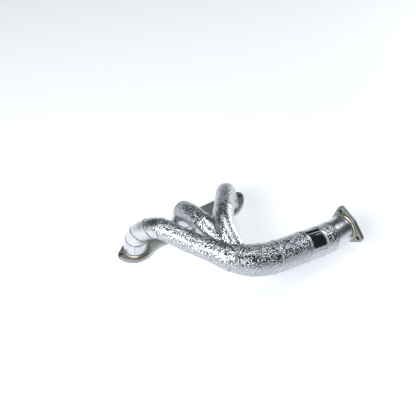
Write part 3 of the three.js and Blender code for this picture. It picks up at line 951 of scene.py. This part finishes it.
def plate(name, outline, holes, thickness, edge, material, replaced, place=None):
    """A plate between z = 0 and thickness. Each hole is (centre, count, [(radius, z) from the top down])."""
    rings, flats = [], {"top": [], "bottom": []}
    turns = np.linspace(0, np.pi / 2, EDGE_STEPS)
    wall = [(edge * (1 - math.sin(a)), thickness - edge * (1 - math.cos(a))) for a in turns]
    wall += [(inward, thickness - z) for inward, z in wall[::-1]]
    vertices, faces = [], []

    def add_wall(loops):
        base = sum(len(v) for v in vertices)
        vertices.append(np.vstack(loops))
        count = len(loops[0])
        faces.extend([[i + base for i in face] for face in grid_faces(len(loops), count)])
        flats["top"].append(np.arange(count) + base)
        flats["bottom"].append(np.arange(count) + base + count * (len(loops) - 1))

    def level(loop, z):
        return np.column_stack([loop, np.full(len(loop), z)])

    add_wall([level(inset(outline, inward), z) for inward, z in wall])
    # Hole walls are marked with 1 for the painted shade in the flange steel.
    bore = [np.zeros(len(vertices[0]))]
    for centre, count, profile in holes:
        add_wall([level(on_circle(centre, radius, around(count))[::-1], z) for radius, z in profile])
        bore.append(np.repeat([0.0, *[1.0] * (len(profile) - 2), 0.0], count))
    points = np.vstack(vertices)
    for side, loops in flats.items():
        order = np.concatenate(loops)
        edges, base = [], 0
        for loop in loops:
            edges += [(base + i, base + (i + 1) % len(loop)) for i in range(len(loop))]
            base += len(loop)
        flat = [Vector(points[i, :2]) for i in order]
        filled = delaunay_2d_cdt(flat, edges, [], 0, 1e-7)
        corner_of = {i: order[sources[0]] for i, sources in enumerate(filled[3]) if sources}
        rim = [points[loop][:, :2] for loop in loops]
        for face in filled[2]:
            middle = np.mean([filled[0][i][:] for i in face], axis=0)
            if within(rim[0], middle) and not any(within(hole, middle) for hole in rim[1:]):
                corners = [int(corner_of[i]) for i in face]
                faces.append(corners if side == "top" else corners[::-1])
    if place is not None:
        centre, left, over, out = place
        points = centre + points[:, :1] * left + points[:, 1:2] * over + points[:, 2:] * out
    piece = add_piece(name, points, faces, material, replaced, {"bore": np.concatenate(bore)})
    return face_outward(piece, math.radians(32))


def within(loop, point):
    """Whether a point lies inside a closed loop."""
    x, y = loop[:, 0] - point[0], loop[:, 1] - point[1]
    nx, ny = np.roll(x, -1), np.roll(y, -1)
    turn = np.arctan2(x * ny - y * nx, x * nx + y * ny).sum()
    return abs(turn) > np.pi


bolt_profile = [(HOLE_RADIUS + 0.7, 10.0), (HOLE_RADIUS + 0.15, 9.6), (HOLE_RADIUS, 9.2),
                (HOLE_RADIUS, 0.8), (HOLE_RADIUS + 0.15, 0.4), (HOLE_RADIUS + 0.7, 0.0)]
port_profile = [(SOCKET_RADIUS + 0.5, 10.0), (SOCKET_RADIUS + 0.1, 9.7), (SOCKET_RADIUS, 9.4),
                (SOCKET_RADIUS, 3.1), (SOCKET_RADIUS - 0.1, 3.0), (21.9, 3.0), (21.8, 2.9),
                (21.8, 0.6), (21.95, 0.25), (22.4, 0.0)]
head_corners = [
    (-34, -18, 40), (-12, -32, 28), (16, -32, 30), (34, -20.5, 28), (84, -20.5, 28), (100, -32, 30),
    (136, -32, 30), (152, -21, 28), (202, -21, 28), (218, -32, 30), (250, -30, 36), (279, -12, 40),
    (291, 8, 20), (291, 19, 8), (275, 30, 20), (-14, 30, 40), (-45, 4, 10),
]
head_bolts = [(-35.5, 2), (65, -11.5), (65, 22), (171, -12), (171, 22), (280, 9)]
head_holes = [((port * PORT_PITCH, 0), 96, port_profile) for port in range(3)]
head_holes += [(bolt, 40, bolt_profile) for bolt in head_bolts]
plate("head_plate", rounded_outline(head_corners), head_holes, PLATE_THICKNESS, 1.0,
      flange_steel, ["head_flange"])
print("head plate done")

# %% [markdown]
# ## The outlet flange
#
# Three bolts at 120 degrees hold the outlet to the next pipe, so the flange is a round body
# with three small lobes. Its outline is arcs around the lobes joined by arcs around the
# body. It is the same kind of plate as the head flange, stood on the end of the outlet route.

# %% Outlet flange
FLANGE_THICKNESS = 9.0
BODY_RADIUS, LOBE_RADIUS, LOBE_DISTANCE, FIRST_LOBE = 34.0, 9.5, 38.5, 58.0
FLANGE_BORE = NECK_RADIUS + 0.6


def flange_outline():
    reach = math.acos((BODY_RADIUS - LOBE_RADIUS) / LOBE_DISTANCE)
    loop, lobes = [], []
    for lobe in range(3):
        turn = math.radians(FIRST_LOBE + 120 * lobe)
        centre = (LOBE_DISTANCE * math.cos(turn), LOBE_DISTANCE * math.sin(turn))
        lobes.append(centre)
        loop.append(on_circle(centre, LOBE_RADIUS, np.linspace(turn - reach, turn + reach, 22)))
        to_next = np.linspace(turn + reach, turn + math.radians(120) - reach, 16)[1:-1]
        loop.append(on_circle((0, 0), BODY_RADIUS, to_next))
    return np.vstack(loop), lobes


outlet_outline, lobe_centres = flange_outline()
centre, left, over, out = outlet_route.at(outlet_route.length)
outlet_end = (centre - out * FLANGE_THICKNESS, left, over, out)
thin_bolt = [(radius, max(0.0, z - 1.0) if z > 5 else z) for radius, z in bolt_profile]
bore_profile = [(FLANGE_BORE + 0.7, 9.0), (FLANGE_BORE + 0.15, 8.7), (FLANGE_BORE, 8.3),
                (FLANGE_BORE, 0.5), (FLANGE_BORE + 0.4, 0.0)]
outlet_holes = [((0, 0), 96, bore_profile)] + [(lobe, 40, thin_bolt) for lobe in lobe_centres]
plate("outlet_end_flange", outlet_outline, outlet_holes, FLANGE_THICKNESS, 0.9,
      flange_steel, ["outlet_flange"], outlet_end)
print("outlet flange done")

# %% [markdown]
# ## Weld beads
#
# A hand-laid bead is a row of overlapping puddles, each frozen with a curved front like a
# stack of coins. A torus would look like a rubber ring. So the bead's section is swept around
# the joint, and its height follows a saw-toothed ripple that lags at the edges of the bead,
# which bends every ripple into a crescent. The painted heat grows towards the bead's rim.

# %% Welds
BEAD_WIDTH, BEAD_HEIGHT = 4.4, 3.6
PUDDLE_LAG = 2.2
PUDDLE_RISE = 0.75


def weld_ring(name, radius, replaced, ripples, place, seed):
    turns, across = 480, 15
    turn = around(turns)[:, None]
    side = np.linspace(0, 1, across)[None, :]
    lag = PUDDLE_LAG * (2 * side - 1) ** 2
    wobble = 0.4 * np.sin(5 * turn + seed) + 0.3 * np.sin(11 * turn)
    phase = (turn * ripples + wobble + lag) / (2 * np.pi) % 1.0
    ripple = np.where(phase < PUDDLE_RISE, phase / PUDDLE_RISE, (1 - phase) / (1 - PUDDLE_RISE))
    crown = np.sin(np.pi * (0.5 + 0.5 * side)) ** 0.6
    spread = BEAD_WIDTH * (0.94 + 0.05 * np.sin(3 * turn + seed) + 0.03 * ripple)
    top = GAP + BEAD_HEIGHT * crown * (0.80 + 0.17 * ripple)
    out_r = np.broadcast_to(radius + spread * side, top.shape)
    under = np.full((turns, 1), GAP)
    section_r = np.concatenate([out_r, np.full((turns, 1), radius)], axis=1)
    section_z = np.concatenate([top, under], axis=1)
    section_z[:, across - 1] = GAP
    centre, left, over, out = place
    outward = np.cos(turn)[..., None] * left + np.sin(turn)[..., None] * over
    points = centre + section_r[..., None] * outward + section_z[..., None] * out
    heat = np.concatenate([0.35 + 0.55 * side + 0 * top, np.full((turns, 1), 0.9)], axis=1)
    return add_piece(name, points.reshape(-1, 3), grid_faces(turns, across + 1, close_rows=True),
                     weld_metal, replaced, {"heat": heat})


for port in range(3):
    up = (np.array([port * PORT_PITCH, 0.0, PLATE_THICKNESS]), *np.eye(3))
    weld_ring(f"port_bead_{port + 1}", SOCKET_RADIUS, [f"port_weld_{port + 1}"], 46 + port, up, seed=port)
back = (centre - out * FLANGE_THICKNESS, left, -over, -out)
weld_ring("outlet_bead", FLANGE_BORE, ["outlet_weld"], 52, back, seed=5)
print("weld beads done")

# %% [markdown]
# ## The label plate and its frame
#
# A small black enamelled plate is bent to the outlet pipe and held by a folded strip of foil,
# with a thin strap across its upper part and a flap below it. The plate here is blank. All of
# them follow the pipe's own curve: a flat drawing, with one side along the pipe and the other
# around it, is wrapped onto the skin.

# %% Label
LABEL_FROM, LABEL_TO = 208.5, 243.0
LABEL_LOW, LABEL_HIGH = 68.0, 142.0
STRAP_ANGLE, FLAP_ANGLE = 86.0, 156.0
SKIN = OUTLET_RADIUS + FOIL_OUTSIDE


def on_outlet_skin(along_pipe, around_pipe, lift):
    """Wraps a flat drawing onto the outlet's foil: millimetres along, around and above it."""
    radius = outlet_radius(along_pipe) + FOIL_OUTSIDE + lift
    return outlet_route.points(along_pipe, around_pipe / SKIN, radius)


def wrapped_pillow(name, rows, columns, thickness, edge, material, replaced):
    """A thin plate with rounded edges, wrapped onto the outlet's skin."""
    low, high = math.radians(LABEL_LOW) * SKIN, math.radians(LABEL_HIGH) * SKIN
    steps = np.array([0, 0.12, 0.3, 0.6, 1.0])
    a = np.concatenate([LABEL_FROM + steps, np.linspace(LABEL_FROM + 2, LABEL_TO - 2, rows),
                        LABEL_TO - steps[::-1]])
    b = np.concatenate([low + steps, np.linspace(low + 2, high - 2, columns), high - steps[::-1]])
    grid_a, grid_b = np.meshgrid(a, b, indexing="ij")
    near = np.minimum(np.minimum(grid_a - LABEL_FROM, LABEL_TO - grid_a),
                      np.minimum(grid_b - low, high - grid_b))
    drop = 1 - np.sqrt(np.clip(1 - (1 - np.clip(near / edge, 0, 1)) ** 2, 0, 1))
    top = on_outlet_skin(grid_a, grid_b, GAP + thickness * (1 - 0.8 * drop)
                         + 0.06 * dents(np.stack([grid_a, grid_b, 0 * grid_a], -1), 9.0, 5) * (near > 1))
    under = on_outlet_skin(grid_a, grid_b, np.full(grid_a.shape, GAP))
    n, m = grid_a.shape
    sheet = grid_faces(n, m, close_columns=False)
    faces = sheet + [[i + n * m for i in face[::-1]] for face in sheet]
    border = [*range(m), *range(2 * m - 1, n * m, m), *range(n * m - 2, (n - 1) * m - 1, -1),
              *range((n - 2) * m, 0, -m)]
    faces += [[p, q, q + n * m, p + n * m] for p, q in zip(border, border[1:] + border[:1])]
    vertices = np.concatenate([top.reshape(-1, 3), under.reshape(-1, 3)])
    return face_outward(add_piece(name, vertices, faces, material, replaced))


def foil_strip(centre_angle, width, low, high):
    """A strip along the pipe, held down over the skin: its points and faces."""
    a = np.linspace(LABEL_FROM - 0.4, LABEL_TO + 0.4, 36)
    middle = math.radians(centre_angle) * SKIN
    section = [(-0.5, low), (-0.5, high - 0.12), (-0.38, high), (0.38, high), (0.5, high - 0.12), (0.5, low)]
    rings = np.stack([on_outlet_skin(a, np.full(a.shape, middle + width * across), np.full(a.shape, lift))
                      for across, lift in section], 1)
    count = len(section)
    last = len(a) * count
    faces = grid_faces(len(a), count) + [list(range(count))[::-1], list(range(last - count, last))]
    return rings.reshape(-1, 3), faces


def label_frame(name, width, height, replaced):
    """A folded strip that runs around the label, as a closed ring, with a strap and a lower flap."""
    low, high = math.radians(LABEL_LOW) * SKIN - 0.3, math.radians(LABEL_HIGH) * SKIN + 0.3
    corners = [(LABEL_FROM - 0.3, low, 1.2), (LABEL_TO + 0.3, low, 1.2), (LABEL_TO + 0.3, high, 1.2),
               (LABEL_FROM - 0.3, high, 1.2)]
    path = []
    sharp = rounded_outline(corners, 8)
    for start, end in zip(sharp, np.roll(sharp, -1, axis=0)):
        count = max(1, int(np.linalg.norm(end - start) / 1.2))
        path += [start + (end - start) * k / count for k in range(count)]
    path = np.array(path)
    section = [(0.0, GAP), (0.05, 0.75), (0.35, 1.0), (1.0, 1.08), (1.7, 0.98), (2.2, 0.7), (width, 0.42),
               (width, GAP)]
    rings = []
    for outward, lift in section:
        ring = inset(path, -outward)
        wave = 0.07 * np.sin(np.arange(len(path)) * 1.3) * (lift > 0.5)
        rings.append(on_outlet_skin(ring[:, 0], ring[:, 1], lift * height + wave))
    vertices = [np.stack(rings, 1).reshape(-1, 3)]
    faces = grid_faces(len(path), len(section), close_rows=True)
    for strip in (foil_strip(STRAP_ANGLE, 1.7, GAP + 0.75, 1.45), foil_strip(FLAP_ANGLE, 1.5, GAP, 0.9)):
        base = sum(len(part) for part in vertices)
        vertices.append(strip[0])
        faces += [[i + base for i in face] for face in strip[1]]
    vertices = np.vstack(vertices)
    return add_piece(name, vertices, faces, foil, replaced,
                     {"seam": np.full(len(vertices), 0.12), "pattern": np.full(len(vertices), 0.2)})


wrapped_pillow("blank_label", 26, 34, 0.7, 0.6, label_enamel, ["label_plate"])
label_frame("label_foil_frame", 2.4, 1.0, ["label_frame"])
print("label done")

# %% [markdown]
# ## The pieces that stay as the CAD made them
#
# The blankets and the collector's bare tube lie under the foil. They keep their CAD shape,
# and only their materials are replaced, so that whatever shows in a gap is fibre or steel.

# %% Kept CAD pieces
for node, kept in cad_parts.items():
    finish = blanket_fibre if "blanket" in node else tube_steel if node == "collector" else None
    if finish:
        kept.data.materials.clear()
        kept.data.materials.append(finish)
print("kept CAD pieces:", sorted(n for n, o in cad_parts.items() if not o.hide_render))

# %% [markdown]
# ## Floor, light and camera
#
# Foil shows what surrounds it more than its own colour. The room is dim and grey-green above
# a pale floor and a pale band at the horizon. One wide soft box stands to the left, like a
# window, with a weak one overhead and one at the right. The tops of the tubes mirror the dim
# upper room, the flanks that face left mirror the window, and the undersides mirror the floor.

# %% Floor
def floor_finish():
    f = Finish("pale_floor", Roughness=0.6, Emission_Color=(0.93, 0.95, 1.0, 1.0), Emission_Strength=0.62)
    speck = f.noise(120, 3.0)
    return f.feed(Base_Color=f.mix(speck, (0.60, 0.61, 0.64), (0.63, 0.64, 0.665)))


floor_mesh = bpy.data.meshes.new("floor")
floor_mesh.from_pydata([(-6, -6, 0), (6, -6, 0), (6, 6, 0), (-6, 6, 0)], [], [(0, 1, 2, 3)])
floor_mesh.materials.append(floor_finish())
floor = bpy.data.objects.new("floor", floor_mesh)
floor.location.z = -0.0003
bpy.context.scene.collection.objects.link(floor)

# %% Lights
def soft_box(name, place, aim, size, power, colour):
    light = bpy.data.lights.new(name, "AREA")
    light.shape = "RECTANGLE"
    light.size, light.size_y = size
    light.energy = power
    light.color = colour
    box = bpy.data.objects.new(name, light)
    box.location = place
    box.rotation_euler = (Vector(aim) - Vector(place)).to_track_quat("-Z", "Y").to_euler()
    bpy.context.scene.collection.objects.link(box)
    return box


soft_box("left_window", (-1.55, -0.35, 1.30), (0, 0, 0.05), (1.2, 0.7), 32, (1.0, 0.995, 0.985))
soft_box("overhead", (0.25, 0.35, 2.2), (0, 0, 0), (0.9, 0.9), 12, (0.97, 0.985, 1.0))
soft_box("right_edge", (1.9, 0.2, 0.7), (0, 0, 0.05), (0.5, 0.9), 9, (0.93, 0.96, 1.0))

world = bpy.data.worlds.new("room")
world.use_nodes = True
bpy.context.scene.world = world
room = world.node_tree
direction = room.nodes.new("ShaderNodeTexCoord")
parts = room.nodes.new("ShaderNodeSeparateXYZ")
ramp = room.nodes.new("ShaderNodeValToRGB")
band_stops = [(0.0, (0.70, 0.71, 0.78)), (0.07, (0.45, 0.46, 0.51)), (0.19, (0.040, 0.055, 0.048)),
              (1.0, (0.060, 0.075, 0.067))]
while len(ramp.color_ramp.elements) < len(band_stops):
    ramp.color_ramp.elements.new(0.5)
for element, (position, colour) in zip(ramp.color_ramp.elements, band_stops):
    element.position, element.color = position, (*colour, 1)
room.links.new(direction.outputs["Generated"], parts.inputs[0])
room.links.new(parts.outputs["Z"], ramp.inputs["Fac"])
room.links.new(ramp.outputs["Color"], room.nodes["Background"].inputs["Color"])
room.nodes["Background"].inputs["Strength"].default_value = 1.0
print("lights:", len(bpy.data.lights))

# %% Camera
camera_data = bpy.data.cameras.new("camera")
camera_data.sensor_width = 36.0
camera_data.lens = 38.28
camera = bpy.data.objects.new("camera", camera_data)
camera.location = (-0.3775, -0.4717, 0.7578)
look = Vector((0.3774, 0.5833, -0.7193))
camera.rotation_euler = look.to_track_quat("-Z", "Y").to_euler()
bpy.context.scene.collection.objects.link(camera)
bpy.context.scene.camera = camera
bpy.context.scene.view_settings.view_transform = "Standard"
